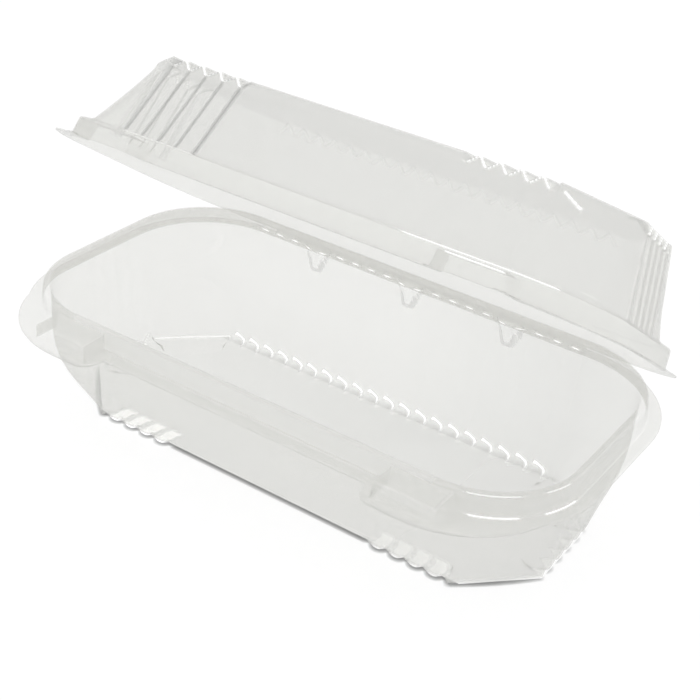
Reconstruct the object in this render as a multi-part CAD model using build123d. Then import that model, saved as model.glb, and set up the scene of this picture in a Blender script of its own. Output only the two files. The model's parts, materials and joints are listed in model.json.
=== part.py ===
"""Hinged clear pack formed from one plastic sheet: a fluted tray and a fluted lid on a living hinge.

Millimetres. The origin is the middle of the tray's underside, X runs along the pack, the hinge is on
the +Y side and Z is up. The lid is drawn closed, then turned open on the hinge.
"""
import math
import os
from dataclasses import dataclass

from build123d import *

# Formed sheet and its fits
SHEET = 0.4
COLLAR_FIT = 0.4
FLANGE_GAP = 0.3
HINGE_GAP = 0.2

# Flange, collar and mouth, shared by both halves
FLANGE_LENGTH = 241.0
FLANGE_WIDTH = 127.0
FLANGE_CORNER = 42.0
FLANGE_REACH = 5.2
COLLAR_RISE = 8.0
COLLAR_DRAFT = 0.8
BEAD_WIDTH = 2.5

# Depth of each half, below and above the flanges
TRAY_DEPTH = 45.0
LID_DEPTH = 41.5
LID_OPEN = 34.0

# Floor of the tray and crown of the lid
BASE_LENGTH = 209.0
BASE_WIDTH = 81.0
BASE_CORNER = 24.0
LEDGE_STEP = 1.0

# Flutes: a groove between each two, opening to a notch at the floor and the crown
LONG_FLUTES = 20
END_FLUTES = 4
FRONT_FLUTES = 4
FLUTE_MARGIN = 0.7
END_MARGIN = 2.2
GROOVE_DEPTH = 0.9
NOTCH_DEPTH = 4.0
NOTCH_RISE = 5.0
PANEL_SET = 0.5
COVE_RISE = 14.0
CORNER_CHORDS = 8

# Front locks on their thumb tabs
LOCK_OFFSET = 74.5
LOCK_LENGTH = 24.0
LOCK_REACH = 10.0
LOCK_RISE = 6.0
LOCK_DRAFT = 0.8
TAB_LENGTH = 57.0
TAB_INSET = 5.5
TAB_REACH = 9.0
TAB_CORNER = 40.0
TAB_ROUND = 6.0
TAB_STEP = 2.0

# Stacking lugs inside the back wall
LUG_COUNT = 3
LUG_SPACING = 46.0
LUG_LENGTH = 13.0
LUG_HEIGHT = 10.0
LUG_REACH = 2.0
LUG_DROP = 3.0

# Living hinge
BEAD_RADIUS = 0.55
HINGE_INSET = 4.0

FLANGE_TOP = TRAY_DEPTH + SHEET
COLLAR_TOP = FLANGE_TOP + COLLAR_RISE
LID_RIM = FLANGE_TOP + FLANGE_GAP
LEDGE_TOP = COLLAR_TOP + COLLAR_FIT + SHEET
CROWN_TOP = LID_RIM + LID_DEPTH
HINGE_Y = FLANGE_WIDTH / 2 + BEAD_RADIUS / 2
HINGE_Z = FLANGE_TOP + FLANGE_GAP / 2
HINGE_LENGTH = FLANGE_LENGTH - 2 * FLANGE_CORNER - 2 * HINGE_INSET
MOUTH_INSET = FLANGE_REACH + COLLAR_DRAFT + BEAD_WIDTH
CORNER_SHARE = 2 - math.sqrt(2)

# Share of a flute's width, with the share of the groove's depth there
FLUTE_PROFILE = ((0.0, 1.0), (0.3, 0.0), (0.7, 0.0))


@dataclass
class Level:
    """One height of a fluted wall: how far it has spread to the mouth, and its corners and grooves."""

    height: float
    spread: float
    bulge: float
    groove: float


def flute_run(first, last, count, groove):
    """Points along a side, from one groove to the last, as (place along the side, depth)."""
    pitch = (last - first) / count
    points = []
    for flute in range(count):
        for share, depth in FLUTE_PROFILE:
            points.append((first + (flute + share) * pitch, groove * depth))
    points.append((last, groove))
    return points


def side_points(half_run, half_span, count, groove, end_flutes):
    """Points of one whole side. With end_flutes, its middle is a plain panel between two runs."""
    points = [(-half_run, 0.0)]
    if end_flutes:
        pitch = 2 * half_span / count
        inner = half_span - end_flutes * pitch
        panel = inner - pitch / 4
        points += flute_run(-half_span, -inner, end_flutes, groove)
        points += [(-panel, groove * PANEL_SET), (panel, groove * PANEL_SET)]
        points += flute_run(inner, half_span, end_flutes, groove)
    else:
        points += flute_run(-half_span, half_span, count, groove)
    points.append((half_run, 0.0))
    return points


def corner_points(along, corner, bulge):
    """Points round the corner after a side: a straight chamfer that rounds out as bulge goes to 1."""
    points = []
    for step in range(1, CORNER_CHORDS):
        share = step / CORNER_CHORDS
        angle = math.pi / 2 * share
        across = (1 - bulge) * share + bulge * math.sin(angle)
        back = (1 - bulge) * share + bulge * (1 - math.cos(angle))
        points.append((along - corner + corner * across, corner * back))
    return points


def wall_section(level, mouth_inset, inset):
    """Points round a fluted wall at one level, drawn inwards by inset."""
    mouth_x = FLANGE_LENGTH / 2 - mouth_inset
    mouth_y = FLANGE_WIDTH / 2 - mouth_inset
    mouth_corner = FLANGE_CORNER - mouth_inset
    half_x = BASE_LENGTH / 2 + level.spread * (mouth_x - BASE_LENGTH / 2) - inset
    half_y = BASE_WIDTH / 2 + level.spread * (mouth_y - BASE_WIDTH / 2) - inset
    corner = BASE_CORNER + level.spread * (mouth_corner - BASE_CORNER) - CORNER_SHARE * inset
    span_x = min(BASE_LENGTH / 2 - BASE_CORNER, mouth_x - mouth_corner) - FLUTE_MARGIN
    span_y = min(BASE_WIDTH / 2 - BASE_CORNER, mouth_y - mouth_corner) - END_MARGIN
    sides = (
        (half_x, half_y, span_x, LONG_FLUTES, FRONT_FLUTES),
        (half_y, half_x, span_y, END_FLUTES, 0),
        (half_x, half_y, span_x, LONG_FLUTES, 0),
        (half_y, half_x, span_y, END_FLUTES, 0),
    )
    points = []
    for turn, (along, away, span, count, end_flutes) in enumerate(sides):
        local = side_points(along - corner, span, count, level.groove, end_flutes)
        local += corner_points(along, corner, level.bulge)
        points += [Vector(s, depth - away, level.height).rotate(Axis.Z, 90 * turn) for s, depth in local]
    return points


def wall_facets(lower, upper):
    """Flat facets between two levels, each pair of them split on its shorter diagonal."""
    facets = []
    for place in range(len(lower)):
        a, b, c, d = lower[place - 1], lower[place], upper[place], upper[place - 1]
        if (c - a).length < (d - b).length:
            facets += [(a, b, c), (a, c, d)]
        else:
            facets += [(a, b, d), (b, c, d)]
    return [Face(Wire.make_polygon(facet)) for facet in facets]


def fluted_plug(levels, mouth_inset, inset):
    """Solid inside a fluted wall, its levels given from its base to its mouth."""
    sections = [wall_section(level, mouth_inset, inset) for level in levels]
    faces = [Face(Wire.make_polygon(sections[0])), Face(Wire.make_polygon(sections[-1]))]
    for lower, upper in zip(sections, sections[1:]):
        faces += wall_facets(lower, upper)
    return Solid(Shell(faces))


def frame_outline(inset):
    """Rounded rectangle at a distance inside the flange's edge."""
    return RectangleRounded(FLANGE_LENGTH - 2 * inset, FLANGE_WIDTH - 2 * inset, FLANGE_CORNER - inset)


def collar_plug(inset, low, high):
    """Tapered solid inside the collar, from its foot to its top."""
    foot = frame_outline(FLANGE_REACH + inset)
    top = frame_outline(FLANGE_REACH + COLLAR_DRAFT + inset)
    return loft([Pos(Z=low) * foot, Pos(Z=high) * top], ruled=True)


def lock_blocks(inset, low, high):
    """The two lock bosses, standing out from the front of the collar."""
    back = FLANGE_WIDTH / 2 - FLANGE_REACH - BEAD_WIDTH / 2
    front = FLANGE_WIDTH / 2 - FLANGE_REACH + LOCK_REACH - inset
    length = LOCK_LENGTH - 2 * inset
    foot = Rectangle(length, front - back)
    top = Pos(Y=LOCK_DRAFT / 2) * Rectangle(length - 2 * LOCK_DRAFT, front - back - LOCK_DRAFT)
    block = loft([Pos(Z=low) * foot, Pos(Z=high) * top], ruled=True)
    middle = -(front + back) / 2
    return [Pos(side * LOCK_OFFSET, middle) * block for side in (-1, 1)]


def flange_plate(low, tab_reach):
    """Flat flange without its opening, its two front corners drawn out to thumb tabs."""
    tab = Rectangle(TAB_LENGTH, TAB_CORNER + FLANGE_REACH, align=Align.MIN)
    inner, outer = tab.vertices().group_by(Axis.Y)[0].sort_by(Axis.X)
    tab = fillet(inner, TAB_ROUND)
    outer = tab.vertices().sort_by_distance(outer)[0]
    tab = fillet(outer, TAB_CORNER)
    tab = Pos(FLANGE_LENGTH / 2 - TAB_INSET - TAB_LENGTH, -FLANGE_WIDTH / 2 - tab_reach) * tab
    outline = frame_outline(0) + tab + mirror(tab, Plane.YZ)
    return Pos(Z=low) * extrude(outline, SHEET)


def stacking_lugs(inset):
    """Wedges that stand in from the top of the back wall, wide side up."""
    top = COLLAR_TOP - LUG_DROP - inset
    wall = FLANGE_WIDTH / 2 - MOUTH_INSET
    depth = LUG_REACH + SHEET - inset
    profile = Polygon(
        (wall + BEAD_WIDTH / 4, top),
        (wall - depth, top),
        (wall - depth - LUG_REACH / 4, top - LUG_HEIGHT / 3),
        (wall - depth + LUG_REACH / 2, top - LUG_HEIGHT + 2 * inset),
        (wall + BEAD_WIDTH / 4, top - LUG_HEIGHT + 2 * inset),
        align=None,
    )
    length = LUG_LENGTH - 2 * inset
    lug = extrude(Plane.YZ * profile, length / 2, both=True)
    first = -LUG_SPACING * (LUG_COUNT - 1) / 2
    return [Pos(X=first + LUG_SPACING * place) * lug for place in range(LUG_COUNT)]


def hinge_rod(radius, length):
    """Round bar on the hinge's axis."""
    return Pos(0, HINGE_Y, HINGE_Z) * Rot(Y=90) * Cylinder(radius, length)


def make_tray():
    """The lower half, with the bead of the living hinge along its back edge."""
    shoulder = TRAY_DEPTH / COLLAR_TOP

    def levels(floor, top, rims):
        return [
            Level(floor, 0.0, 0.0, NOTCH_DEPTH),
            Level(NOTCH_RISE, 0.16, 0.5, GROOVE_DEPTH),
            Level(COVE_RISE, 0.44, 1.0, GROOVE_DEPTH),
            Level(TRAY_DEPTH, 0.5 + shoulder / 2, 1.0, GROOVE_DEPTH),
            *[Level(top + rise, 1.0, 1.0, 0.0) for rise in rims],
        ]

    tub = fluted_plug(levels(0.0, COLLAR_TOP - SHEET / 2, (0.0,)), MOUTH_INSET, 0.0)
    inside = fluted_plug(levels(SHEET, COLLAR_TOP - SHEET, (0.0, 2 * SHEET)), MOUTH_INSET, SHEET)
    rim = flange_plate(TRAY_DEPTH, TAB_REACH) + collar_plug(0.0, TRAY_DEPTH, COLLAR_TOP)
    rim += lock_blocks(0.0, TRAY_DEPTH, FLANGE_TOP + LOCK_RISE)
    rim -= collar_plug(SHEET, TRAY_DEPTH - SHEET, COLLAR_TOP - SHEET)
    rim -= lock_blocks(SHEET, TRAY_DEPTH - SHEET, FLANGE_TOP + LOCK_RISE - SHEET)
    inside = Part() + inside - stacking_lugs(0.0)
    tray = rim + tub - stacking_lugs(SHEET) - inside
    return tray + hinge_rod(BEAD_RADIUS, HINGE_LENGTH)


def make_lid():
    """The upper half, drawn closed: its collar covers the tray's collar."""
    foot_inset = MOUTH_INSET + LEDGE_STEP
    shoulder = NOTCH_RISE / (CROWN_TOP - LEDGE_TOP)

    def levels(foot, crown):
        return [
            Level(crown, 0.0, 0.0, NOTCH_DEPTH),
            Level(CROWN_TOP - NOTCH_RISE, shoulder, shoulder, GROOVE_DEPTH),
            Level(foot, 1.0, 1.0, GROOVE_DEPTH),
        ]

    dome = fluted_plug(levels(LEDGE_TOP - SHEET / 2, CROWN_TOP), foot_inset, 0.0)
    inside = fluted_plug(levels(LEDGE_TOP - 2 * SHEET, CROWN_TOP - SHEET), foot_inset, SHEET)
    skin = -COLLAR_FIT - SHEET
    ledge = LEDGE_TOP - SHEET
    lock_top = FLANGE_TOP + LOCK_RISE + COLLAR_FIT
    lid = flange_plate(LID_RIM, TAB_REACH - TAB_STEP) + collar_plug(skin, LID_RIM, LEDGE_TOP)
    lid += lock_blocks(skin, LID_RIM, lock_top + SHEET)
    lid += dome
    lid -= collar_plug(-COLLAR_FIT, LID_RIM - SHEET, ledge)
    lid -= lock_blocks(-COLLAR_FIT, LID_RIM - SHEET, lock_top)
    lid -= inside
    return lid - hinge_rod(BEAD_RADIUS + HINGE_GAP, HINGE_LENGTH + 2 * HINGE_INSET)


tray = make_tray()
hinge_axis = Axis((0, HINGE_Y, HINGE_Z), (-1, 0, 0))
lid = make_lid().rotate(hinge_axis, LID_OPEN)

os.makedirs("parts", exist_ok=True)
export_step(tray, "parts/tray.step")
export_step(lid, "parts/lid.step")
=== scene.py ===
"""Clear hinged food pack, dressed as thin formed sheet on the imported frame.

Sizes are in millimetres and meshes in metres. X runs along the pack, the hinge is on the +Y side and
Z is up. Each half is one sheet of rings and columns, from the middle of its flat out to its flange.
"""
import json
import logging
import math
from dataclasses import dataclass, field
from enum import Enum
from typing import Any, Sequence

import bpy
import numpy as np
from mathutils import Matrix, Vector


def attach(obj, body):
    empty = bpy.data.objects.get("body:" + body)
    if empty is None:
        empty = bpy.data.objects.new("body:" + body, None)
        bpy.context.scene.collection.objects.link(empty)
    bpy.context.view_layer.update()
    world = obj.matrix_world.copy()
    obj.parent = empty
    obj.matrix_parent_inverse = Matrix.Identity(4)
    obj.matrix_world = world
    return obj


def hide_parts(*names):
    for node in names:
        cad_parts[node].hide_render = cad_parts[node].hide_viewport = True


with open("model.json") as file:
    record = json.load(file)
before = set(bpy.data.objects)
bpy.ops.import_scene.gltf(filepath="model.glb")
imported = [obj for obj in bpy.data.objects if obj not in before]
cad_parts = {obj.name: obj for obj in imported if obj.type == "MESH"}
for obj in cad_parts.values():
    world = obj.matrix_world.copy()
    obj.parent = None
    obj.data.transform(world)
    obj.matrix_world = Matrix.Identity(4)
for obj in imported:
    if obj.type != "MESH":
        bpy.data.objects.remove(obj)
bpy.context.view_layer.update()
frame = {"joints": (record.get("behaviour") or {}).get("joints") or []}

MM = 0.001
IMAGE_PX = 700
SENSOR_MM = 36.0
LOG = logging.getLogger("clear_pack")


class Side(Enum):
    """Sides of the pack, in quarter turns from the front."""

    FRONT = 0
    RIGHT = 1
    BACK = 2
    LEFT = 3


class Half(Enum):
    """The two halves of the pack, by the name of their body and node."""

    TRAY = "tray"
    LID = "lid"


def linear_rgba(hex_value: str, alpha: float = 1.0) -> tuple[float, float, float, float]:
    """Turn an sRGB hex colour into a linear one.

    Args:
        hex_value: Six hex digits, with or without a leading hash.
        alpha: Opacity.

    Returns:
        Linear red, green, blue and alpha.
    """
    digits = hex_value.lstrip("#")
    channels = [int(digits[place:place + 2], 16) / 255 for place in (0, 2, 4)]
    linear = [c / 12.92 if c <= 0.04045 else ((c + 0.055) / 1.055) ** 2.4 for c in channels]
    return linear[0], linear[1], linear[2], alpha


def add_node(tree: bpy.types.NodeTree, kind: str, settings: dict[str, Any] | None = None,
             sockets: dict[Any, Any] | None = None) -> bpy.types.Node:
    """Add a node with its settings and inputs.

    Args:
        tree: Tree that takes the node.
        kind: Blender's name for the kind of node.
        settings: Attributes of the node.
        sockets: Inputs by name or number; a value is set, and an output socket is linked.

    Returns:
        The new node.
    """
    node = tree.nodes.new(kind)
    for name, value in (settings or {}).items():
        setattr(node, name, value)
    for key, value in (sockets or {}).items():
        if isinstance(value, bpy.types.NodeSocket):
            tree.links.new(value, node.inputs[key])
        else:
            node.inputs[key].default_value = value
    return node


def smooth_value(knots: Sequence[tuple[float, float]], at: float) -> float:
    """Read a smooth curve that passes through knots.

    Args:
        knots: Place and value pairs, in order of place.
        at: Place to read.

    Returns:
        The curve's value there, held at its ends.
    """
    places, values = np.array(knots, float).T
    slopes = np.gradient(values, places)
    at = float(np.clip(at, places[0], places[-1]))
    span = int(np.clip(np.searchsorted(places, at) - 1, 0, len(places) - 2))
    width = places[span + 1] - places[span]
    t = (at - places[span]) / width
    start = (1 + 2 * t) * (1 - t) ** 2 * values[span] + t * (1 - t) ** 2 * width * slopes[span]
    end = t * t * (3 - 2 * t) * values[span + 1] + t * t * (t - 1) * width * slopes[span + 1]
    return float(start + end)


def quarter_turn(radius: float, turns: Sequence[float]) -> list[tuple[float, float, float]]:
    """Steps round an edge.

    Args:
        radius: Radius of the edge.
        turns: Angles of the steps in degrees.

    Returns:
        For each step its angle, and what its cosine and its sine leave of the radius.
    """
    angles = [math.radians(turn) for turn in turns]
    return [(turn, radius * (1 - math.cos(angle)), radius * (1 - math.sin(angle)))
            for turn, angle in zip(turns, angles)]


@dataclass(frozen=True)
class SheetPlan:
    """Sizes that both halves are formed to."""

    sheet: float = 0.4
    fit: float = 0.4
    flange_gap: float = 0.3
    flange_length: float = 241.0
    flange_width: float = 127.0
    flange_corner: float = 42.0
    flange_reach: float = 5.2
    collar_rise: float = 8.0
    collar_draft: float = 0.8
    bead_width: float = 2.5
    tray_depth: float = 45.0
    lid_depth: float = 41.5
    base_length: float = 209.0
    base_width: float = 81.0
    base_corner: float = 24.0
    ledge_step: float = 1.0
    long_flutes: int = 20
    end_flutes: int = 4
    front_flutes: int = 4
    flute_margin: float = 0.7
    end_margin: float = 2.2
    groove_depth: float = 0.9
    groove_share: float = 0.07
    groove_edge: float = 0.88
    soft_share: float = 0.6
    notch_depth: float = 5.0
    notch_rise: float = 3.8
    # Width of the painted highlights along the notches.
    notch_highlight_width: float = 0.17
    lock_offset: float = 74.5
    lock_length: float = 24.0
    lock_reach: float = 10.0
    lock_rise: float = 6.0
    tab_length: float = 57.0
    tab_inset: float = 5.5
    tab_reach: float = 9.0
    tab_corner: float = 40.0
    tab_round: float = 6.0
    tab_step: float = 2.0
    lug_spacing: float = 46.0
    lug_length: float = 13.0
    lug_height: float = 10.0
    lug_reach: float = 2.0
    lug_drop: float = 3.0
    lug_point_width: float = 0.3
    lug_point_reach: float = 0.45
    bead_radius: float = 0.55
    hinge_inset: float = 4.0

    @property
    def flange_top(self) -> float:
        """Height of the tray's flange."""
        return self.tray_depth + self.sheet

    @property
    def collar_top(self) -> float:
        """Height of the tray's collar."""
        return self.flange_top + self.collar_rise

    @property
    def lid_rim(self) -> float:
        """Height of the underside of the closed lid's flange."""
        return self.flange_top + self.flange_gap

    @property
    def ledge_top(self) -> float:
        """Height of the ledge round the closed lid's foot."""
        return self.collar_top + self.fit + self.sheet

    @property
    def crown_top(self) -> float:
        """Height of the closed lid."""
        return self.lid_rim + self.lid_depth

    @property
    def mouth_inset(self) -> float:
        """Distance of the tray's mouth inside the flange's edge."""
        return self.flange_reach + self.collar_draft + self.bead_width

    @property
    def flute_pitch(self) -> float:
        """Width of one flute on the long sides."""
        return 2 * self.long_span / self.long_flutes

    @property
    def long_span(self) -> float:
        """Half the length that flutes take on a long side."""
        floor_run = self.base_length / 2 - self.base_corner
        mouth_run = self.flange_length / 2 - self.flange_corner
        return min(floor_run, mouth_run) - self.flute_margin

    @property
    def panel_half(self) -> float:
        """Half the length between the front's two groups of flutes."""
        return self.long_span - self.front_flutes * self.flute_pitch

    @property
    def end_span(self) -> float:
        """Half the length that flutes take on an end."""
        floor_run = self.base_width / 2 - self.base_corner
        mouth_run = self.flange_width / 2 - self.flange_corner
        return min(floor_run, mouth_run) - self.end_margin


FLUTE_STEPS = (0.0, 0.035, 0.07, 0.14, 0.25, 0.36, 0.46, 0.54, 0.64, 0.75, 0.86, 0.93, 0.965)
PANEL_STEPS = 20
FRONT_CORNER_STEPS = 38
BACK_CORNER_STEPS = 26
CORNER_SHARE = 2 - math.sqrt(2)
SHOULDER_GAP = 0.3
SHARP_ANGLE = math.radians(34)
FOLD_TURNS = (0, 22.5, 45, 67.5, 90)
EDGE_TURNS = (0, 30, 60, 90)
COLLAR_TURNS = (0, 30, 60, 85)
MID_FOLD = 45
MID_EDGE = 60
COLLAR_SHARES = (0.25, 0.5, 0.75, 1.0)
NOSE_SHARES = (0.35, 0.65, 0.85, 1.0)
# Way out in bends, and way down in bends and in heights of the boss
BOSS_STEPS = ((0.35, 0.12, 0.0), (0.75, 0.45, 0.0), (1.0, 1.0, 0.0), (1.0, 0.0, 0.55),
              (1.05, -0.8, 1.0), (1.25, -0.2, 1.0), (1.7, 0.0, 1.0))
BOSS_HIGHLIGHT_STEP = 1
PLAIN_STEP = 0.3
PLAIN_END = 0.93
CLEAR_BELOW = 0.02


@dataclass
class Columns:
    """Lines that run over a formed half from its middle to its flange, counted round from the front."""

    plan: SheetPlan
    rows: list[tuple[float, ...]] = field(default_factory=list)
    turn: np.ndarray = field(init=False)
    place: np.ndarray = field(init=False)
    shoulder: np.ndarray = field(init=False)
    rounding: np.ndarray = field(init=False)
    phase: np.ndarray = field(init=False)
    panel: np.ndarray = field(init=False)
    fluted: np.ndarray = field(init=False)

    def __post_init__(self) -> None:
        """Lay out the columns of the four sides and corners."""
        plan = self.plan
        inner = plan.panel_half
        edge = inner - plan.flute_pitch / 4
        for side in Side:
            self.add(side, shoulder=-1)
            if side is Side.FRONT:
                self.add_flutes(side, -plan.long_span, -inner, plan.front_flutes)
                for place in np.linspace(-edge, edge, PANEL_STEPS):
                    self.add(side, place=float(place), panel=1.0)
                self.add_flutes(side, inner, plan.long_span, plan.front_flutes)
            elif side is Side.BACK:
                self.add_flutes(side, -plan.long_span, plan.long_span, plan.long_flutes)
            else:
                self.add_flutes(side, -plan.end_span, plan.end_span, plan.end_flutes)
            self.add(side, shoulder=1)
            front = side in (Side.FRONT, Side.LEFT)
            steps = FRONT_CORNER_STEPS if front else BACK_CORNER_STEPS
            for step in range(1, steps):
                self.add(side, rounding=step / steps)
        table = np.array(self.rows).T
        self.turn = table[0].astype(int)
        self.place, self.shoulder, self.rounding, self.phase, self.panel, self.fluted = table[1:]

    def add(self, side: Side, place: float = 0.0, shoulder: int = 0, rounding: float = 0.0,
            phase: float = 0.5, panel: float = 0.0, fluted: float = 0.0) -> None:
        """Add one column.

        Args:
            side: Side that it belongs to.
            place: Place along the side.
            shoulder: -1 or 1 for the column at the start or end of the side's straight run.
            rounding: Share of the way round the corner after the side.
            phase: Share of the way over a flute, from groove to groove.
            panel: 1 on the plain panel.
            fluted: 1 on a flute.
        """
        self.rows.append((side.value, place, shoulder, rounding, phase, panel, fluted))

    def add_flutes(self, side: Side, first: float, last: float, count: int) -> None:
        """Add the columns of a run of flutes.

        Args:
            side: Side that they belong to.
            first: Place of the first groove.
            last: Place of the last groove.
            count: Number of flutes.
        """
        pitch = (last - first) / count
        for flute in range(count):
            for share in FLUTE_STEPS:
                self.add(side, place=first + (flute + share) * pitch, phase=share, fluted=1.0)
        self.add(side, place=last, phase=1.0, fluted=1.0)

    def run(self, side: Side, first: float = -math.inf, last: float = math.inf) -> np.ndarray:
        """Mark part of a side's straight run.

        Args:
            side: Side to mark.
            first: Place where the part starts.
            last: Place where the part ends.

        Returns:
            1 for each column on the part, 0 elsewhere.
        """
        straight = (self.turn == side.value) & (self.rounding == 0) & (self.shoulder == 0)
        return (straight & (self.place >= first) & (self.place <= last)).astype(float)

    def bend(self, side: Side, first: float = 0.0, last: float = 1.0) -> np.ndarray:
        """Mark part of the corner after a side.

        Args:
            side: Side before the corner.
            first: Share of the way round where the part starts.
            last: Share of the way round where the part ends.

        Returns:
            1 for each column on the part, 0 elsewhere.
        """
        after = (self.rounding > 0) | (self.shoulder > 0)
        part = (self.turn == side.value) & after & (self.rounding >= first) & (self.rounding <= last)
        return part.astype(float)

    def zeros(self) -> np.ndarray:
        """0 for each column."""
        return np.zeros(len(self.rows))

    def ridge(self, top: float, slope: float) -> np.ndarray:
        """Mark the middle of each flute.

        Args:
            top: Value at the middle, before it is held to 1.
            slope: Loss from the middle to a groove.

        Returns:
            1 at the middle, falling to 0 at the sides.
        """
        return np.clip(top - slope * self.aside(), 0, 1)

    def aside(self) -> np.ndarray:
        """Distance of each column from the middle of its flute: 0 there, 1 at a groove."""
        return np.abs(2 * self.phase - 1)

    def turned(self, along: np.ndarray, across: np.ndarray) -> np.ndarray:
        """Turn each column's own directions into the pack's.

        Args:
            along: Distance along the column's side.
            across: Distance inwards from the middle of the pack, so the front is negative.

        Returns:
            X and Y for each column.
        """
        cos = np.array([1, 0, -1, 0])[self.turn]
        sin = np.array([0, 1, 0, -1])[self.turn]
        return np.stack([along * cos - across * sin, along * sin + across * cos], 1)

    def outline(self, half_x: float, half_y: float, corner: float, bulge: float = 1.0) -> np.ndarray:
        """Points of one ring, without flutes.

        Args:
            half_x: Half its length.
            half_y: Half its width.
            corner: Length that a corner takes from each side.
            bulge: 0 for a straight chamfer, 1 for a round corner.

        Returns:
            X and Y for each column.
        """
        long_side = self.turn % 2 == 0
        along = np.where(long_side, half_x, half_y)
        away = np.where(long_side, half_y, half_x)
        angle = self.rounding * math.pi / 2
        ahead = (1 - bulge) * self.rounding + bulge * np.sin(angle)
        behind = (1 - bulge) * self.rounding + bulge * (1 - np.cos(angle))
        run = along - corner
        span = np.where(long_side, self.plan.long_span, self.plan.end_span)
        squeeze = np.minimum(1, (run - SHOULDER_GAP) / span)
        straight = np.where(self.shoulder == 0, self.place * squeeze, self.shoulder * run)
        place = np.where(self.rounding > 0, run + corner * ahead, straight)
        return self.turned(place, corner * behind - away)

    def inward(self) -> np.ndarray:
        """Level direction into the pack for each column."""
        angle = self.rounding * math.pi / 2
        return self.turned(-np.sin(angle), np.cos(angle))


@dataclass
class Ring:
    """One ring of a sheet, with how much of each formed feature it takes.

    Painted light and shade: 1 is a painted highlight, -1 painted shade and 0 clear. The folded share lets
    the notches take their painted highlights.
    """

    points: np.ndarray
    groove: float = 0.0
    notch: float = 0.0
    lug: np.ndarray | float = 0.0
    folded: float = 1.0
    crease: np.ndarray | float = 0.0


@dataclass(frozen=True)
class ClearPlastic:
    """Clear polyester sheet, vacuum formed over a mould.

    It is see-through and glossy, and so thin that it does not bend what lies behind it. Each skin holds
    back a little light as a milky veil, and mirrors the room more the flatter the glance. Drawing over
    the mould leaves it slightly wavy and less sharp where it touched the metal. Light and shade are also
    painted in: white brighter than the room's light is a painted highlight, and grey is painted shade.
    """

    name: str = "clear_formed_polyester"
    tint: str = "#fdfdfc"
    haze: float = 0.2
    haze_colour: str = "#f8f8f7"
    # Painted highlight and painted shade: their colours, how far they hide the clear skin, and how much
    # brighter than the room's light a painted highlight shines.
    highlight_white: str = "#ffffff"
    painted_shade_grey: str = "#8c8c8b"
    painted_cover: float = 0.95
    highlight_flash: float = 1.6
    mirror_at_front: float = 0.04
    mirror_edge_on: float = 0.3
    roughness_clear: float = 0.04
    roughness_touched: float = 0.09
    wave_length: float = 14.0
    wave_height: float = 0.05
    touch_size: float = 3.0
    touch_range: tuple[float, float] = (0.35, 0.75)
    wave_strength: float = 0.5
    mirror_power: float = 5.0

    def make(self) -> bpy.types.Material:
        """Build the material.

        Returns:
            The material.
        """
        material = bpy.data.materials.new(self.name)
        material.use_nodes = True
        tree = material.node_tree
        tree.nodes.clear()
        place = add_node(tree, "ShaderNodeTexCoord").outputs["Object"]
        wave = add_node(tree, "ShaderNodeTexNoise", {},
                        {"Vector": place, "Scale": 1 / (self.wave_length * MM), "Detail": 1.0})
        touch = add_node(tree, "ShaderNodeTexNoise", {},
                         {"Vector": place, "Scale": 1 / (self.touch_size * MM), "Detail": 2.0})
        rough = add_node(tree, "ShaderNodeMapRange", {}, {
            "Value": touch.outputs["Fac"], "From Min": self.touch_range[0], "From Max": self.touch_range[1],
            "To Min": self.roughness_clear, "To Max": self.roughness_touched})
        bump = add_node(tree, "ShaderNodeBump", {}, {
            "Strength": self.wave_strength, "Distance": self.wave_height * MM,
            "Height": wave.outputs["Fac"]})
        glance = add_node(tree, "ShaderNodeLayerWeight", {}, {"Normal": bump.outputs["Normal"]})
        steep = add_node(tree, "ShaderNodeMath", {"operation": "POWER"},
                         {0: glance.outputs["Facing"], 1: self.mirror_power})
        mirror = add_node(tree, "ShaderNodeMapRange", {},
                          {"Value": steep.outputs[0], "To Min": self.mirror_at_front,
                           "To Max": self.mirror_edge_on})
        # Painted light and shade arrive on this attribute: positive is painted highlight, negative is
        # painted shade.
        painted_value = add_node(tree, "ShaderNodeAttribute", {"attribute_name": "crease"}).outputs["Fac"]
        cover = add_node(tree, "ShaderNodeMath", {"operation": "ABSOLUTE"}, {0: painted_value})
        veil = add_node(tree, "ShaderNodeMapRange", {},
                        {"Value": cover.outputs[0], "To Min": self.haze, "To Max": self.painted_cover})
        # Painted highlight colour, brighter than the room's light.
        painted_highlight_colour = add_node(tree, "ShaderNodeMix", {"data_type": "RGBA"}, {
            "Factor": painted_value, "A": linear_rgba(self.haze_colour),
            "B": [channel * self.highlight_flash for channel in linear_rgba(self.highlight_white)]})
        # Painted shade: the share of grey from the negative marks.
        deep = add_node(tree, "ShaderNodeMath", {"operation": "MULTIPLY", "use_clamp": True},
                        {0: painted_value, 1: -1.0})
        colour = add_node(tree, "ShaderNodeMix", {"data_type": "RGBA"}, {
            "Factor": deep.outputs[0], "A": painted_highlight_colour.outputs["Result"], "B": linear_rgba(self.painted_shade_grey)})
        clear = add_node(tree, "ShaderNodeBsdfTransparent", {}, {"Color": linear_rgba(self.tint)})
        gloss = add_node(tree, "ShaderNodeBsdfAnisotropic", {}, {
            "Roughness": rough.outputs["Result"], "Normal": bump.outputs["Normal"]})
        milk = add_node(tree, "ShaderNodeBsdfDiffuse", {}, {"Color": colour.outputs["Result"]})
        body = add_node(tree, "ShaderNodeMixShader", {},
                        {0: veil.outputs["Result"], 1: clear.outputs[0], 2: milk.outputs[0]})
        skin = add_node(tree, "ShaderNodeMixShader", {},
                        {0: mirror.outputs["Result"], 1: body.outputs[0], 2: gloss.outputs[0]})
        add_node(tree, "ShaderNodeOutputMaterial", {}, {"Surface": skin.outputs[0]})
        return material


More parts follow.
